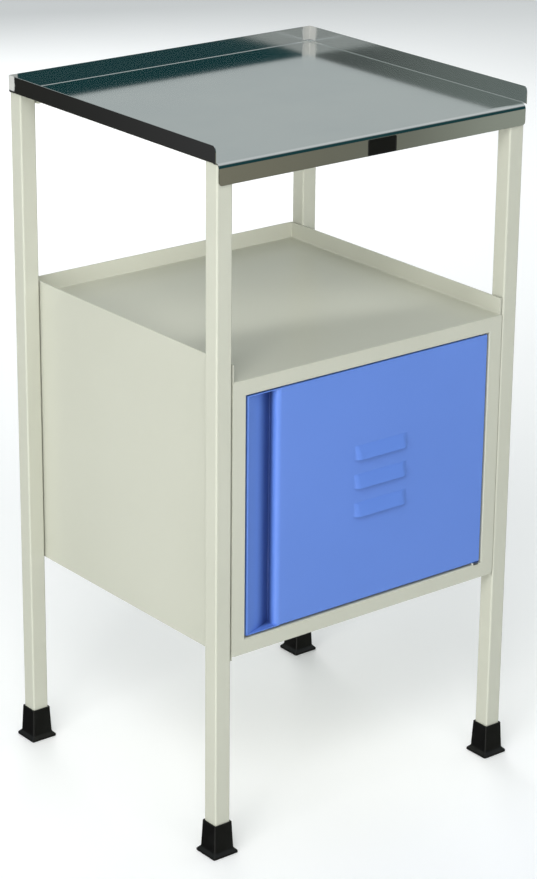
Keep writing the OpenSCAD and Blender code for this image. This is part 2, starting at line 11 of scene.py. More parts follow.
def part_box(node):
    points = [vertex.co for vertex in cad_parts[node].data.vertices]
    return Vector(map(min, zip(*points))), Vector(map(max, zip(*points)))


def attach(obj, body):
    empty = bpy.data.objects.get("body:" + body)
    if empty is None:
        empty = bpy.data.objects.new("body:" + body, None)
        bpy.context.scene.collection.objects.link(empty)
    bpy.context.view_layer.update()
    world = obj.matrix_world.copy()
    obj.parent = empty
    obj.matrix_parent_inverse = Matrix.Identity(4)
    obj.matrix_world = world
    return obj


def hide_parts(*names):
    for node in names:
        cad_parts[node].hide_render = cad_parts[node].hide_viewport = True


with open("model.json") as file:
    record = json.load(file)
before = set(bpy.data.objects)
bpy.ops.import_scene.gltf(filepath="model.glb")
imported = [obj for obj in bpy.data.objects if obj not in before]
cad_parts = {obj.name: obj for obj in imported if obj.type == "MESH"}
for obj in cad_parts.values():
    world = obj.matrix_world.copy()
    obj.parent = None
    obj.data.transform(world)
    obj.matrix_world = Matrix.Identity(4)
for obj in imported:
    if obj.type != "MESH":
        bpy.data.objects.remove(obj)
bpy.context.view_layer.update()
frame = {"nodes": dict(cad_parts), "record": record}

MM = 0.001
SHEET = 1.0 * MM            # thickness of the tray, the shelf, the floor and the door
EDGE = 0.25 * MM            # softened edge of a cut sheet
SOFT_ANGLE = 50             # edges that turn by more degrees than this are softened
SMOOTH_ANGLE = 40           # degrees up to which faces shade as one surface

CAD_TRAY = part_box("top_tray")
RIM_HIGH = 18 * MM          # from the tray's flat to the top of its rims

DOOR_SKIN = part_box("door_skin")
DOOR_FACE = DOOR_SKIN[1].y - 17 * MM        # the flat face behind which the rims turn in
GRIP_DEEP = 15 * MM         # depth of the finger pull behind the door's face
GRIP_ROLL = 7.5 * MM        # radius of the rolled edge that the fingers pull on
GRIP_END_X = DOOR_SKIN[0].x + 45.6 * MM     # where the rolled edge meets the flat face
GRIP_BOTTOM_X = GRIP_END_X - GRIP_ROLL + 2 * MM     # the deepest line of the pull


# ---------------------------------------------------------------- modelling helpers

def start(name, primitive, low, high):
    """Add a cube or a plane that fills the box low..high, name it and open it for editing.

    A "front_plane" faces -Y, a "back_plane" faces +Y and a "plane" faces +Z.
    """
    if bpy.context.object and bpy.context.object.mode != "OBJECT":
        bpy.ops.object.mode_set(mode="OBJECT")
    bpy.ops.object.select_all(action="DESELECT")
    low, high = Vector(low), Vector(high)
    size = high - low
    if primitive == "cube":
        bpy.ops.mesh.primitive_cube_add(size=1, location=(0, 0, 0))
    else:
        bpy.ops.mesh.primitive_plane_add(size=1, location=(0, 0, 0))
    piece = bpy.context.object
    piece.name = name
    piece.data.name = name
    bpy.ops.object.mode_set(mode="EDIT")
    bpy.ops.mesh.select_all(action="SELECT")
    facing = {"front_plane": -1, "back_plane": 1}.get(primitive)
    if facing:
        bpy.ops.transform.rotate(value=math.radians(90), orient_axis="X", center_override=(0, 0, 0))
        if normal_of(piece).y * facing < 0:
            bpy.ops.mesh.flip_normals()
    bpy.ops.transform.resize(value=[s if s else 1 for s in size], center_override=(0, 0, 0))
    bpy.ops.transform.translate(value=(low + high) / 2)
    return piece


def normal_of(piece):
    """Normal of the mesh's first face while it is being edited."""
    mesh = bmesh.from_edit_mesh(piece.data)
    mesh.faces.ensure_lookup_table()
    mesh.normal_update()
    return mesh.faces[0].normal.copy()


def pick(piece, kind, test):
    """Select the faces, edges or vertices whose middle and direction pass the test."""
    bpy.ops.mesh.select_mode(type=kind)
    bpy.ops.mesh.select_all(action="DESELECT")
    mesh = bmesh.from_edit_mesh(piece.data)
    mesh.normal_update()
    found = 0
    if kind == "FACE":
        for face in mesh.faces:
            if test(face.calc_center_median(), face.normal):
                face.select_set(True)
                found += 1
    elif kind == "EDGE":
        for edge in mesh.edges:
            a, b = edge.verts[0].co, edge.verts[1].co
            if test((a + b) / 2, (b - a).normalized()):
                edge.select_set(True)
                found += 1
    else:
        for vert in mesh.verts:
            if test(vert.co, vert.normal):
                vert.select_set(True)
                found += 1
    mesh.select_flush_mode()
    bmesh.update_edit_mesh(piece.data)
    if not found:
        raise RuntimeError("nothing to work on in " + piece.name)


def near(a, b, slack=0.05 * MM):
    """True where two places agree to within the slack."""
    return abs(a - b) < slack


def along(direction, axis):
    """True where an edge runs along the axis: 0 is X, 1 is Y and 2 is Z."""
    return abs(direction[axis]) > 0.999


def extrude(dx, dy, dz):
    bpy.ops.mesh.extrude_region_move(TRANSFORM_OT_translate={"value": (dx, dy, dz)})


def move(dx, dy, dz):
    bpy.ops.transform.translate(value=(dx, dy, dz))


def cut(axis, place):
    """Cut the whole mesh with a plane across one axis."""
    bpy.ops.mesh.select_mode(type="FACE")
    bpy.ops.mesh.select_all(action="SELECT")
    spot, across = [0, 0, 0], [0, 0, 0]
    spot[axis], across[axis] = place, 1
    bpy.ops.mesh.bisect(plane_co=spot, plane_no=across)


def round_edges(radius, steps, measure="OFFSET"):
    bpy.ops.mesh.bevel(offset_type=measure, offset=radius, segments=steps, profile=0.5,
                       affect="EDGES", clamp_overlap=False)


def round_corners(radius, steps):
    bpy.ops.mesh.bevel(offset_type="OFFSET", offset=radius, segments=steps, profile=0.5,
                       affect="VERTICES", clamp_overlap=False)


def thicken(piece, thickness, side):
    """Give the sheet its thickness; side 1 grows along the normals and -1 against them."""
    bpy.ops.object.mode_set(mode="OBJECT")
    wall = piece.modifiers.new("wall", "SOLIDIFY")
    wall.thickness = thickness
    wall.offset = side
    wall.use_even_offset = True
    wall.use_quality_normals = True
    bpy.ops.object.modifier_apply(modifier=wall.name)


def activate(piece):
    """Select this piece alone and make it the one that operators work on."""
    bpy.ops.object.select_all(action="DESELECT")
    piece.select_set(True)
    bpy.context.view_layer.objects.active = piece


def finish_piece(piece, body, finish, nodes, edge=EDGE, steps=2):
    """Soften the cut edges, shade, paint, and tie the piece to its body."""
    if piece.mode != "OBJECT":
        bpy.ops.object.mode_set(mode="OBJECT")
    activate(piece)
    soft = piece.modifiers.new("soft_edges", "BEVEL")
    soft.limit_method = "ANGLE"
    soft.angle_limit = math.radians(SOFT_ANGLE)
    soft.width = edge
    soft.segments = steps
    soft.use_clamp_overlap = True
    bpy.ops.object.modifier_apply(modifier=soft.name)
    bpy.ops.object.shade_smooth_by_angle(angle=math.radians(SMOOTH_ANGLE))
    weight = piece.modifiers.new("even_shading", "WEIGHTED_NORMAL")
    weight.keep_sharp = True
    weight.weight = 80
    bpy.ops.object.modifier_apply(modifier=weight.name)
    piece.data.materials.clear()
    piece.data.materials.append(finish)
    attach(piece, body)
    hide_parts(*nodes)


def copy_piece(piece, name, shift):
    """A copy with its own mesh, moved by shift in its mesh."""
    twin = piece.copy()
    twin.data = piece.data.copy()
    twin.name = name
    twin.data.name = name
    bpy.context.scene.collection.objects.link(twin)
    twin.data.transform(Matrix.Translation(shift))
    return twin


# ---------------------------------------------------------------- finishes

# The colour sockets of a Mix node
MIX_A = 6
MIX_B = 7
MIX_RESULT = 2


class Finish:
    """A node material, with short calls for the nodes used here."""

    def __init__(self, name):
        self.material = bpy.data.materials.new(name)
        self.material.use_nodes = True
        self.nodes = self.material.node_tree.nodes
        self.links = self.material.node_tree.links
        self.shader = self.nodes["Principled BSDF"]
        self.place = self.nodes.new("ShaderNodeTexCoord").outputs["Object"]

    def set(self, **values):
        """Fix shader sockets at constant values."""
        for socket, value in values.items():
            self.shader.inputs[socket.replace("_", " ")].default_value = value
        return self

    def join(self, source, target):
        self.links.new(source, target)

    def stretched(self, scale):
        mapping = self.nodes.new("ShaderNodeMapping")
        mapping.inputs["Scale"].default_value = scale
        self.join(self.place, mapping.inputs["Vector"])
        return mapping.outputs["Vector"]

    def noise(self, scale, detail=2.0, rough=0.5, where=None):
        node = self.nodes.new("ShaderNodeTexNoise")
        node.inputs["Scale"].default_value = scale
        node.inputs["Detail"].default_value = detail
        node.inputs["Roughness"].default_value = rough
        self.join(where or self.place, node.inputs["Vector"])
        return node.outputs["Fac"]

    def spread(self, value, low, high, to_low, to_high):
        """Ease from to_low to to_high while the value goes from low to high."""
        node = self.nodes.new("ShaderNodeMapRange")
        node.interpolation_type = "SMOOTHSTEP"
        for socket, number in zip(("From Min", "From Max", "To Min", "To Max"),
                                  (low, high, to_low, to_high)):
            node.inputs[socket].default_value = number
        self.join(value, node.inputs["Value"])
        return node.outputs["Result"]

    def blend(self, factor, a, b):
        node = self.nodes.new("ShaderNodeMix")
        node.data_type = "RGBA"
        for socket, colour in ((node.inputs[MIX_A], a), (node.inputs[MIX_B], b)):
            if isinstance(colour, tuple):
                socket.default_value = (*colour, 1)
            else:
                self.join(colour, socket)
        self.join(factor, node.inputs[0])
        return node.outputs[MIX_RESULT]

    def maths(self, operation, a, b):
        node = self.nodes.new("ShaderNodeMath")
        node.operation = operation
        for socket, value in zip(node.inputs, (a, b)):
            if isinstance(value, (int, float)):
                socket.default_value = value
            else:
                self.join(value, socket)
        return node.outputs[0]

    def vector_maths(self, operation, a, b=None):
        node = self.nodes.new("ShaderNodeVectorMath")
        node.operation = operation
        self.join(a, node.inputs[0])
        if b:
            node.inputs[1].default_value = b
        return node.outputs["Value" if operation == "DISTANCE" else "Vector"]

    def axes(self):
        """The X, Y and Z of a point on the piece."""
        node = self.nodes.new("ShaderNodeSeparateXYZ")
        self.join(self.place, node.inputs[0])
        return node.outputs["X"], node.outputs["Y"], node.outputs["Z"]

    def bump(self, height, strength, distance, below=None):
        node = self.nodes.new("ShaderNodeBump")
        node.inputs["Strength"].default_value = strength
        node.inputs["Distance"].default_value = distance
        self.join(height, node.inputs["Height"])
        if below:
            self.join(below, node.inputs["Normal"])
        return node.outputs["Normal"]

    def colour(self, output):
        self.join(output, self.shader.inputs["Base Color"])

    def roughness(self, output):
        self.join(output, self.shader.inputs["Roughness"])

    def normal(self, output):
        self.join(output, self.shader.inputs["Normal"])


def powder_coat(name, pale, deep, buckle, painted_grip_shade=None):
    """Semi-gloss powder coat on thin sheet: soft clouding, orange peel and a slight buckle; the optional
    grip shade colour is painted shade that darkens the bottom of the finger pull.
    """
    paint = Finish(name).set(Roughness=0.30)
    cloud = paint.spread(paint.noise(4.5, 2, 0.45), 0.25, 0.75, 0, 1)
    tone = paint.blend(cloud, deep, pale)
    if painted_grip_shade:
        # Painted shade: the finger pull's crease is darkened in the colour, standing in for the shade
        # under the rolled edge
        tone = paint.blend(painted_grip_shade_mask(paint), tone, painted_grip_shade)
    paint.colour(tone)
    peel = paint.bump(paint.noise(900, 2, 0.45), 0.06, 0.00012)
    paint.normal(paint.bump(paint.noise(4.0, 0, 0.4), buckle, 0.0016, peel))
    return paint.material


def painted_grip_shade_mask(paint):
    """Mask of the painted shade: 1 along the bottom of the finger pull's outer side, fading to 0 up its
    slope and wall.
    """
    x, y, _ = paint.axes()
    slope = GRIP_DEEP / (GRIP_BOTTOM_X - DOOR_SKIN[0].x)
    outer_line = DOOR_FACE - DOOR_SKIN[0].x * slope
    behind = paint.maths("SUBTRACT", y, paint.maths("MULTIPLY", x, slope))
    outer = paint.spread(behind, outer_line + 0.3 * SHEET, outer_line + 0.7 * SHEET, 1, 0)
    deep = paint.spread(y, DOOR_FACE + 6 * MM, DOOR_FACE + 13 * MM, 0, 1)
    left = paint.spread(x, GRIP_BOTTOM_X + 0.2 * SHEET, GRIP_BOTTOM_X + 0.6 * SHEET, 1, 0)
    return paint.maths("MULTIPLY", outer, paint.maths("MULTIPLY", deep, left))


ivory = powder_coat("ivory_powder_coat", (0.540, 0.545, 0.460), (0.520, 0.525, 0.440), 0.25)
# The blue's grip colour is painted shade for the crease of the finger pull
blue = powder_coat("blue_powder_coat", (0.122, 0.236, 0.665), (0.114, 0.226, 0.640), 0.3,
                   painted_grip_shade=(0.030, 0.062, 0.23))


def polished_sheet():
    """Polished stainless: fine long scratches, a soft smear, and ground weld corners at the back."""
    steel = Finish("polished_stainless").set(Metallic=1.0)
    grain = steel.noise(90, 2, 0.5, steel.stretched((0.1, 1.0, 1.0)))
    smear = steel.noise(7, 3, 0.55)
    ground = ground_corners(steel)
    tint = steel.blend(steel.spread(smear, 0.35, 0.65, 0, 1), (0.84, 0.86, 0.855), (0.88, 0.895, 0.88))
    steel.colour(steel.blend(ground, tint, (0.62, 0.62, 0.59)))
    metallic = steel.maths("SUBTRACT", 1.0, steel.maths("MULTIPLY", ground, 0.85))
    steel.join(metallic, steel.shader.inputs["Metallic"])
    worn = steel.spread(grain, 0.35, 0.7, 0.118, 0.126)
    steel.roughness(steel.maths("ADD", worn, steel.maths("MULTIPLY", ground, 0.30)))
    steel.normal(steel.bump(steel.noise(5, 2, 0.4), 0.2, 0.0010))
    return steel.material


def ground_corners(steel):
    """1 on the dull welds of the rims' two back corners, with a ragged edge, and 0 elsewhere."""
    _, y, z = steel.axes()
    folded = steel.vector_maths("ABSOLUTE", steel.vector_maths("MULTIPLY", steel.place, (1, 1, 0)))
    reach = steel.vector_maths("DISTANCE", folded, (CAD_TRAY[1].x, CAD_TRAY[1].y, 0))
    ragged = steel.maths("MULTIPLY", steel.noise(160, 2, 0.5), 4 * MM)
    close = steel.spread(steel.maths("ADD", reach, ragged), 12.5 * MM, 15 * MM, 1, 0)
    at_back = steel.spread(y, 0, 50 * MM, 0, 1)
    flat_z = CAD_TRAY[1].z - RIM_HIGH
    on_rim = steel.spread(z, flat_z + 1 * MM, flat_z + 3 * MM, 0, 1)
    return steel.maths("MULTIPLY", steel.maths("MULTIPLY", close, at_back), on_rim)


stainless = polished_sheet()


def zinc_plate():
    plated = Finish("zinc_plate").set(Metallic=1.0)
    cloud = plated.noise(180, 4, 0.6)
    plated.colour(plated.blend(cloud, (0.50, 0.51, 0.53), (0.68, 0.68, 0.66)))
    plated.roughness(plated.spread(cloud, 0.3, 0.7, 0.28, 0.45))
    plated.normal(plated.bump(plated.noise(900, 2, 0.5), 0.12, 0.0001))
    return plated.material


def moulded(name, pale, deep, rough_low, rough_high, grain, strength):
    """Moulded rubber or plastic with a fine grain and dusty patches."""
    cast = Finish(name)
    dust = cast.noise(60, 4, 0.6)
    cast.colour(cast.blend(cast.spread(dust, 0.45, 0.75, 0, 1), deep, pale))
    cast.roughness(cast.spread(dust, 0.3, 0.7, rough_low, rough_high))
    cast.normal(cast.bump(cast.noise(grain, 3, 0.55), strength, 0.00025))
    return cast.material


zinc = zinc_plate()
shoe_rubber = moulded("black_shoe_rubber", (0.009, 0.009, 0.008), (0.004, 0.004, 0.004),
                      0.42, 0.56, 700, 0.25)
buffer_rubber = moulded("grey_buffer_rubber", (0.10, 0.10, 0.10), (0.06, 0.06, 0.06), 0.5, 0.7, 900, 0.3)
plate_black = moulded("black_name_plate", (0.004, 0.004, 0.004), (0.002, 0.002, 0.002),
                      0.30, 0.40, 500, 0.05)
nylon = moulded("white_nylon", (0.82, 0.82, 0.79), (0.74, 0.74, 0.70), 0.35, 0.5, 500, 0.15)
ferrite = moulded("dark_ferrite", (0.16, 0.16, 0.165), (0.09, 0.09, 0.095), 0.45, 0.65, 600, 0.3)

SLOT_FINISH = {
    "ivory_paint": ivory,
    "blue_paint": blue,
    "stainless": stainless,
    "zinc": zinc,
    "shoe_rubber": shoe_rubber,
    "buffer_rubber": buffer_rubber,
    "plate_black": plate_black,
    "white_plastic": nylon,
    "magnet": ferrite,
}


# ---------------------------------------------------------------- frame nodes that stay

for part in frame["record"]["subparts"]:
    mesh = frame["nodes"][part["node"]].data
    mesh.materials.clear()
    mesh.materials.append(SLOT_FINISH[part["material_slot"]])


# ---------------------------------------------------------------- tray

def make_tray():
    """Flat with rims left, right and back; the front is rolled over into an apron."""
    low, high = CAD_TRAY
    nose_r = 6 * MM
    inner_r = nose_r - SHEET
    apron_x = high.x - 3.2 * MM
    under = high.z - RIM_HIGH - SHEET
    bend_y = low.y + nose_r
    rim_front = low.y + 2 * MM
    apron_corner, rim_corner, bend = 4 * MM, 8 * MM, 1.6 * MM
    tray = start("tray", "plane", (low.x, bend_y, under), (high.x, high.y, under))
    for x in (-apron_x, apron_x):
        cut(0, x)

    def on_rim(m):
        return near(abs(m.x), high.x) or near(m.y, high.y)

    pick(tray, "EDGE", lambda m, d: on_rim(m))
    extrude(0, 0, high.z - under)
    pick(tray, "EDGE", lambda m, d: near(m.y, bend_y) and along(d, 2))
    extrude(0, rim_front - bend_y, 0)
    pick(tray, "EDGE", lambda m, d: near(m.y, bend_y) and near(m.z, under) and abs(m.x) < 1 * MM)
    bpy.ops.mesh.spin(steps=8, angle=math.radians(90), center=(0, bend_y, under - inner_r),
                      axis=(-1, 0, 0))
    if min(v.co.y for v in bmesh.from_edit_mesh(tray.data).verts) > bend_y - MM:
        raise RuntimeError("the nose turned the wrong way")
    extrude(0, 0, low.z - (under - inner_r))
    pick(tray, "VERT", lambda m, d: near(m.z, low.z))
    round_corners(apron_corner, 5)
    pick(tray, "VERT", lambda m, d: near(m.y, rim_front) and near(m.z, high.z))
    round_corners(rim_corner, 8)
    pick(tray, "EDGE", lambda m, d: (near(m.z, under) and on_rim(m))
         or (near(abs(m.x), high.x) and near(m.y, high.y)))
    round_edges(bend, 3)
    thicken(tray, SHEET, 1)
    finish_piece(tray, "cabinet", stainless, ("top_tray",))


# ---------------------------------------------------------------- folded locker sheets

def folded_pan(name, low, high, floor, top, front_lip, nodes):
    """A flat sheet with turned-up edges; low and high are its outer faces, floor its top face."""
    inner = (low.x + SHEET, high.x - SHEET, high.y - SHEET)
    bend = 1.5 * MM

    def on_rim(m):
        return (near(m.x, inner[0]) or near(m.x, inner[1]) or near(m.y, inner[2])
                or (front_lip and near(m.y, low.y)))

    pan = start(name, "plane", (inner[0], low.y, floor), (inner[1], inner[2], floor))
    pick(pan, "EDGE", lambda m, d: on_rim(m))
    extrude(0, 0, top - floor)
    pick(pan, "EDGE", lambda m, d: (near(m.z, floor) and on_rim(m))
         or (along(d, 2) and near(m.y, inner[2])))
    round_edges(bend, 3)
    thicken(pan, SHEET, -1)
    finish_piece(pan, "cabinet", ivory, nodes)


def make_wrap():
    """The locker's left side, back and right side, one sheet folded round the back corners."""
    left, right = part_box("side_panel_left"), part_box("side_panel_right")
    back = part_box("back_panel")
    bend = 2 * MM
    wrap = start("locker_wrap", "back_plane",
                 (back[0].x, back[1].y, back[0].z), (back[1].x, back[1].y, back[1].z))
    pick(wrap, "EDGE", lambda m, d: near(abs(m.x), back[1].x))
    extrude(0, left[0].y - back[1].y, 0)
    pick(wrap, "EDGE", lambda m, d: along(d, 2) and near(m.y, back[1].y))
    round_edges(bend, 4)
    thicken(wrap, right[1].x - right[0].x, -1)
    finish_piece(wrap, "cabinet", ivory,
                 ("side_panel_left", "side_panel_right", "back_panel"))


def make_front_frame():
    """Jambs, head rail and sill, welded and dressed into one folded frame."""
    jamb_l, jamb_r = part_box("frame_jamb_left"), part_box("frame_jamb_right")
    head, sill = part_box("frame_head"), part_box("frame_sill")
    face_t, step = 1.2 * MM, 0.2 * MM
    foot_corner, rim_round = 4 * MM, 1.1 * MM
    body_x = jamb_r[1].x - SHEET
    front, back = jamb_l[0].y, jamb_r[1].y
    ledge = front + face_t - step
    foot, top = sill[0].z, head[1].z
    open_x, open_foot, open_top = head[1].x, sill[1].z, head[0].z
    ring = start("front_frame", "cube", (-body_x, front + face_t, foot), (body_x, back, top))
    for x in (-open_x, open_x):
        cut(0, x)
    for z in (open_foot, open_top):
        cut(2, z)
    pick(ring, "FACE", lambda m, n: abs(m.x) < open_x and open_foot < m.z < open_top and abs(n.y) > 0.9)
    bpy.ops.mesh.bridge_edge_loops()
    pick(ring, "FACE", lambda m, n: n.y < -0.9)
    extrude(0, -step, 0)
    for side in (-1, 1):
        pick(ring, "VERT", lambda m, n: near(m.y, ledge) and near(m.x, side * body_x))
        move(side * SHEET, 0, 0)
    pick(ring, "VERT", lambda m, n: near(m.y, ledge) and near(m.z, top))
    move(0, 0, SHEET)
    pick(ring, "FACE", lambda m, n: n.y < -0.9 and near(m.y, ledge))
    extrude(0, front - ledge, 0)
    pick(ring, "EDGE", lambda m, d: along(d, 1) and m.y < ledge and abs(m.x) > open_x + 9 * MM
         and m.z < foot + MM)
    round_edges(foot_corner, 6)

    def on_opening(m, d):
        upright = near(abs(m.x), open_x) and open_foot - MM < m.z < open_top + MM and along(d, 2)
        level = (near(m.z, open_foot) or near(m.z, open_top)) and abs(m.x) < open_x + MM and along(d, 0)
        return upright or level

    pick(ring, "EDGE", lambda m, d: near(m.y, front) and (on_opening(m, d) or near(m.z, top + SHEET)))
    round_edges(rim_round, 4)
    finish_piece(ring, "cabinet", ivory,
                 ("frame_jamb_left", "frame_jamb_right", "frame_head", "frame_sill"), edge=0.3 * MM)


# ---------------------------------------------------------------- legs and shoes

def make_legs():
    """Four square tubes, open at both ends; the front two are cut back under the tray's nose."""
    low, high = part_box("leg_front_left")
    middle = (low + high) / 2
    corner, wall = 2 * MM, 1.2 * MM
    leg = start("leg_tube", "cube", low, high)
    pick(leg, "FACE", lambda m, n: abs(n.z) > 0.9)
    bpy.ops.mesh.delete(type="FACE")
    pick(leg, "EDGE", lambda m, d: along(d, 2))
    round_edges(corner, 5)
    thicken(leg, wall, -1)
    for name in ("leg_front_left", "leg_front_right", "leg_back_left", "leg_back_right"):
        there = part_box(name)
        shift = (there[0] + there[1]) / 2 - middle
        twin = copy_piece(leg, "tube_" + name, (shift.x, shift.y, 0))
        activate(twin)
        if name.startswith("leg_front"):
            clear_the_nose(there)
        finish_piece(twin, "cabinet", ivory, (name,), edge=0.2 * MM)
    bpy.data.objects.remove(leg)


def clear_the_nose(box):
    """Slope the front of the active leg's top under the tray's bend."""
    bpy.ops.object.mode_set(mode="EDIT")
    bpy.ops.mesh.select_all(action="SELECT")
    low = Vector((0, box[0].y, box[1].z - 1.6 * MM))
    high = Vector((0, box[0].y + 3.6 * MM, box[1].z))
    slope = (high - low).normalized()
    bpy.ops.mesh.bisect(plane_co=low, plane_no=(0, -slope.z, slope.y), use_fill=True, clear_outer=True)


def make_shoes():
    """Rubber shoes: a flat foot, a flared skirt and a body that narrows up to the tube."""
    low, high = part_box("shoe_front_left")
    middle = (low + high) / 2
    centre = (middle.x, middle.y, 0)
    edge_top = low.z + 2.5 * MM
    skirt_top = edge_top + 3.5 * MM
    foot_w = high.x - low.x
    body_w, mouth_w, tube_w = foot_w - 7.0 * MM, foot_w - 9.8 * MM, foot_w - 13.2 * MM
    mouth_deep, corner, waist = 1.2 * MM, 1.6 * MM, 1.2 * MM
    shoe = start("shoe", "cube", low, (high.x, high.y, edge_top))
    pick(shoe, "FACE", lambda m, n: n.z > 0.9)
    extrude(0, 0, skirt_top - edge_top)
    bpy.ops.transform.resize(value=(body_w / foot_w, body_w / foot_w, 1), center_override=centre)
    extrude(0, 0, high.z - skirt_top)
    bpy.ops.transform.resize(value=(mouth_w / body_w, mouth_w / body_w, 1), center_override=centre)
    bpy.ops.mesh.inset(thickness=(mouth_w - tube_w) / 2, depth=0)
    extrude(0, 0, -mouth_deep)
    pick(shoe, "EDGE", lambda m, d: abs(d.z) > 0.3 and m.z < high.z - 1.5 * MM)
    round_edges(corner, 4)
    pick(shoe, "EDGE", lambda m, d: near(m.z, skirt_top) and abs(d.z) < 0.1)
    round_edges(waist, 3)
    bpy.ops.object.mode_set(mode="OBJECT")
    for name in ("shoe_front_left", "shoe_front_right", "shoe_back_left", "shoe_back_right"):
        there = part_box(name)
        shift = (there[0] + there[1]) / 2 - middle
        twin = copy_piece(shoe, "rubber_" + name, (shift.x, shift.y, 0))
        finish_piece(twin, "cabinet", shoe_rubber, (name,), edge=0.5 * MM, steps=3)
    bpy.data.objects.remove(shoe)


# ---------------------------------------------------------------- door

def make_door():
    """One sheet: pressed louvres, a rolled edge that drops into the finger pull, turned-in rims."""
    x0, x1 = DOOR_SKIN[0].x, DOOR_SKIN[1].x
    z0, z1 = DOOR_SKIN[0].z, DOOR_SKIN[1].z
    back = DOOR_SKIN[1].y
    face, roll, main_x = DOOR_FACE, GRIP_ROLL, GRIP_END_X
    deep = (GRIP_BOTTOM_X, face + GRIP_DEEP)
    shoulder = main_x - roll
    lip, bend = 12 * MM, 1.6 * MM
    door = start("door_leaf", "front_plane", (shoulder, face, z0), (x1, face, z1))
    press_louvres(door, (main_x + x1) / 2 - 7.4 * MM, face, z1 - 96.9 * MM)

    pick(door, "EDGE", lambda m, d: near(m.x, shoulder) and near(m.y, face))
    extrude(deep[0] - shoulder, deep[1] - face, 0)
    extrude(x0 - deep[0], face - deep[1], 0)
    extrude(0, back - face, 0)
    extrude(lip, 0, 0)
    pick(door, "EDGE", lambda m, d: along(d, 2) and near(m.x, shoulder) and near(m.y, face))
    round_edges(roll - 0.1 * MM, 8, "ABSOLUTE")

    def on_rim(m):
        return m.x > main_x and (near(m.x, x1) or near(m.z, z0) or near(m.z, z1))

    pick(door, "EDGE", lambda m, d: near(m.y, face) and on_rim(m))
    extrude(0, back - face, 0)
    bends = ((deep[0], deep[1], bend, 3), (x0, face, 2 * MM, 5), (x0, back, 1.5 * MM, 3))
    for x, y, radius, steps in bends:
        pick(door, "EDGE", lambda m, d: along(d, 2) and near(m.x, x) and near(m.y, y))
        round_edges(radius, steps)
    pick(door, "EDGE", lambda m, d: (near(m.y, face) and on_rim(m)) or (near(m.x, x1) and along(d, 1)))
    round_edges(bend, 4)
    thicken(door, SHEET, -1)
    bpy.ops.object.mode_set(mode="EDIT")
    for low_z, high_z in ((z0, z0 + SHEET), (z1 - SHEET, z1)):
        add_grip_end((x0, face, low_z), (main_x, back, high_z))
    finish_piece(door, "door", blue, ("door_skin",))


def press_louvres(door, middle_x, face, first):
    """Three hoods, open below; first is the height of the top one's middle."""
    half, high, out, pitch = 38.5 * MM, 15.6 * MM, 5 * MM, 33.2 * MM
    end_slope, top_slope, top_out = 6 * MM, 1.6 * MM, 0.8 * MM
    end_round, top_round = 3.2 * MM, 1.2 * MM
    levels = [first - i * pitch for i in range(3)]
    for x in (middle_x - half, middle_x + half):
        cut(0, x)
    for level in levels:
        cut(2, level - high / 2)
        cut(2, level + high / 2)

    def in_louvre(m):
        return abs(m.x - middle_x) < half and any(abs(m.z - level) < high / 2 for level in levels)

    def at_height(z, above_middle, slack=0.05 * MM):
        return any(near(z, level + above_middle, slack) for level in levels)

    pick(door, "FACE", lambda m, n: in_louvre(m))
    extrude(0, -out, 0)
    pick(door, "FACE", lambda m, n: near(m.y, face - out / 2, 0.4 * MM)
         and abs(m.x - middle_x) < MM and at_height(m.z, -high / 2))
    bpy.ops.mesh.delete(type="FACE")
    for side in (-1, 1):
        pick(door, "VERT", lambda m, n: near(m.y, face - out) and near(m.x, middle_x + side * half))
        move(-side * end_slope, 0, 0)
    pick(door, "VERT", lambda m, n: near(m.y, face - out) and at_height(m.z, high / 2))
    move(0, out - top_out, -top_slope)
    pick(door, "EDGE", lambda m, d: m.y < face - 0.3 * MM and d.z ** 2 > 0.3
         and near(abs(m.x - middle_x), half - end_slope, 1 * MM))
    round_edges(end_round, 5)
    pick(door, "EDGE", lambda m, d: m.y < face - 0.2 * MM and abs(d.x) > 0.9
         and at_height(m.z, high / 2 - top_slope, 0.3 * MM))
    round_edges(top_round, 4)


def add_grip_end(low, high):
    """Plate that closes one end of the finger pull, added to the mesh being edited."""
    low, high = Vector(low), Vector(high)
    bpy.ops.mesh.select_all(action="DESELECT")
    bpy.ops.mesh.primitive_cube_add(size=1, location=(0, 0, 0))
    inset = Vector((0.3 * MM, 0.3 * MM, 0.02 * MM))
    bpy.ops.transform.resize(value=high - low - 2 * inset, center_override=(0, 0, 0))
    bpy.ops.transform.translate(value=(low + high) / 2)


def make_name_plate():
    """Small blank plate with a raised border."""
    low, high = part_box("name_plate")
    corner, border, sunk = 1.5 * MM, 0.9 * MM, 0.25 * MM
    plate = start("blank_plate", "cube", low, high)
    pick(plate, "EDGE", lambda m, d: along(d, 1))
    round_edges(corner, 4)
    pick(plate, "FACE", lambda m, n: n.y < -0.9)
    bpy.ops.mesh.inset(thickness=border, depth=0)
    bpy.ops.mesh.inset(thickness=sunk, depth=-sunk)
    finish_piece(plate, "cabinet", plate_black, ("name_plate",), edge=0.12 * MM)


# ---------------------------------------------------------------- build every piece

make_tray()
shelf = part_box("shelf_pan")
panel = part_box("side_panel_right")
folded_pan("shelf", Vector((-panel[0].x, panel[0].y, 0)), Vector((panel[0].x, shelf[1].y, 0)),
           shelf[0].z + SHEET, shelf[1].z, False, ("shelf_pan",))
floor_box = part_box("floor_pan")
folded_pan("locker_floor", floor_box[0], floor_box[1],
           floor_box[0].z + SHEET, floor_box[1].z, True, ("floor_pan",))
make_wrap()
make_front_frame()
make_legs()
make_shoes()
make_door()
make_name_plate()


# ---------------------------------------------------------------- studio

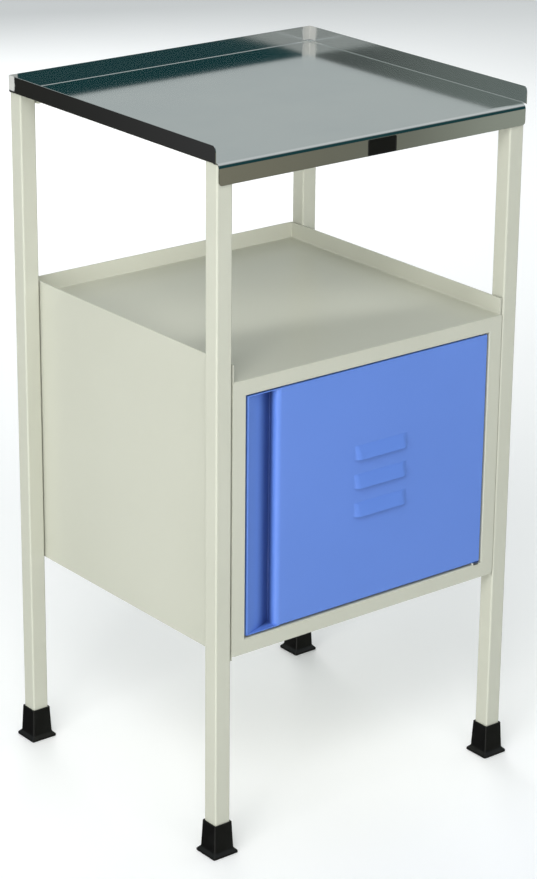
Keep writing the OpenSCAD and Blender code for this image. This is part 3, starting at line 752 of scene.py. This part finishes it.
def studio_floor():
    """Plain pale floor, left out of reflections so that the tray and paint see the soft sky alone."""
    bpy.ops.object.select_all(action="DESELECT")
    bpy.ops.mesh.primitive_plane_add(size=60, location=(0, 0, -0.0005))
    ground = bpy.context.object
    ground.name = "studio_floor"
    paper = Finish("white_paper")
    paper.colour(paper.blend(paper.noise(3, 2, 0.5), (0.90, 0.90, 0.90), (0.94, 0.94, 0.94)))
    paper.set(Roughness=0.9, Emission_Color=(1, 1, 1, 1), Emission_Strength=0.12)
    ground.data.materials.append(paper.material)
    ground.visible_glossy = False


def studio_sky():
    """Soft surroundings: pale above, darker below, with patches that the tray and paint reflect."""
    world = bpy.data.worlds.new("studio")
    bpy.context.scene.world = world
    world.use_nodes = True
    nodes, links = world.node_tree.nodes, world.node_tree.links
    base = nodes["Background"]
    place = nodes.new("ShaderNodeTexCoord").outputs["Generated"]

    def toward(direction, low, high):
        """1 near the direction, easing to 0 away from it; low and high are cosines."""
        dot = nodes.new("ShaderNodeVectorMath")
        dot.operation = "DOT_PRODUCT"
        links.new(place, dot.inputs[0])
        dot.inputs[1].default_value = Vector(direction).normalized()
        step = nodes.new("ShaderNodeMapRange")
        step.interpolation_type = "SMOOTHSTEP"
        step.inputs["From Min"].default_value = low
        step.inputs["From Max"].default_value = high
        links.new(dot.outputs["Value"], step.inputs["Value"])
        return step.outputs["Result"]

    def over(factor, below, colour):
        """Lay a colour over what is below it."""
        mix = nodes.new("ShaderNodeMix")
        mix.data_type = "RGBA"
        if isinstance(below, tuple):
            mix.inputs[MIX_A].default_value = (*below, 1)
        else:
            links.new(below, mix.inputs[MIX_A])
        mix.inputs[MIX_B].default_value = (*colour, 1)
        links.new(factor, mix.inputs[0])
        return mix.outputs[MIX_RESULT]

    # Pale ceiling over a dim ground
    sky = over(toward((0, 0, 1), -0.1, 0.5), (0.085, 0.088, 0.070), (0.54, 0.57, 0.58))
    # Behind the cabinet to the right, which the tray's flat reflects
    sky = over(toward((0.58, 0.73, 0.35), 0.6, 0.95), sky, (0.40, 0.44, 0.44))
    # Behind to the left, darker, with a narrow deep patch: the right rim's inner face
    sky = over(toward((-0.58, 0.73, 0.35), 0.8, 0.95), sky, (0.20, 0.24, 0.23))
    sky = over(toward((-0.56, 0.80, 0.20), 0.990, 0.998), sky, (0.05, 0.055, 0.055))
    # In front to the right, deep teal: the back rim's inner face
    sky = over(toward((0.55, -0.78, 0.28), 0.78, 0.97), sky, (0.010, 0.045, 0.050))
    # All that is below the horizon, then two lighter patches that streak the apron
    sky = over(toward((0, 0, -1), 0.06, 0.20), sky, (0.095, 0.098, 0.078))
    sky = over(toward((0.45, -0.85, -0.28), 0.972, 0.990), sky, (0.20, 0.19, 0.14))
    sky = over(toward((0.75, -0.62, -0.22), 0.987, 0.992), sky, (0.30, 0.33, 0.28))
    # Low behind to the left, near black: the left rim's outer face
    sky = over(toward((-0.62, 0.68, -0.38), 0.75, 0.93), sky, (0.02, 0.02, 0.018))
    sky = over(toward((-0.66, 0.70, -0.28), 0.985, 0.997), sky, (0.045, 0.045, 0.047))
    # Low to the left, bright: the shine along the door's rolled edge and the louvres' ends
    sky = over(toward((-0.85, -0.40, -0.35), 0.90, 0.98), sky, (1.8, 1.8, 1.7))
    links.new(sky, base.inputs["Color"])
    base.inputs["Strength"].default_value = 1.0


def soft_light(name, spot, aim, size, power, beam=180):
    """A panel of light at a spot, turned to its aim; the beam's spread is in degrees."""
    data = bpy.data.lights.new(name, "AREA")
    data.shape = "RECTANGLE"
    data.size, data.size_y = size
    data.energy = power
    data.spread = math.radians(beam)
    lamp = bpy.data.objects.new(name, data)
    bpy.context.scene.collection.objects.link(lamp)
    lamp.location = spot
    lamp.rotation_euler = (Vector(aim) - Vector(spot)).to_track_quat("-Z", "Y").to_euler()
    lamp.visible_glossy = False
    lamp.visible_camera = False


def studio_camera():
    """Long lens from the front left, looking down at the tray."""
    data = bpy.data.cameras.new("view")
    camera = bpy.data.objects.new("view", data)
    bpy.context.scene.collection.objects.link(camera)
    yaw, tilt, roll = math.radians(38.627), math.radians(-20.673), math.radians(0.633)
    camera.location = (-1.84687, -2.34019, 1.51975)
    level = math.radians(90)
    turn = Matrix.Rotation(-yaw, 3, "Z") @ Matrix.Rotation(level + tilt, 3, "X")
    camera.rotation_euler = (turn @ Matrix.Rotation(roll, 3, "Z")).to_euler()
    data.sensor_width = 36
    data.lens = 114.95
    data.shift_x = -0.01212
    data.shift_y = -0.01042
    bpy.context.scene.camera = camera


studio_floor()
studio_sky()
locker = (0, 0, 0.45)
soft_light("left", (-3.2, -1.2, 1.0), locker, (1.5, 1.5), 50)
soft_light("high_left", (-2.0, -1.9, 3.0), locker, (1.5, 1.5), 56)
soft_light("front", (-0.6, -3.4, 1.2), locker, (1.8, 1.8), 20)
soft_light("behind", (1.4, 3.0, 1.8), locker, (1.8, 1.8), 45)
soft_light("open_bay", (-0.03, -0.175, 0.64), (0.04, 0.18, 0.585), (0.32, 0.03), 0.19, beam=80)
studio_camera()
bpy.context.scene.view_settings.view_transform = "Standard"
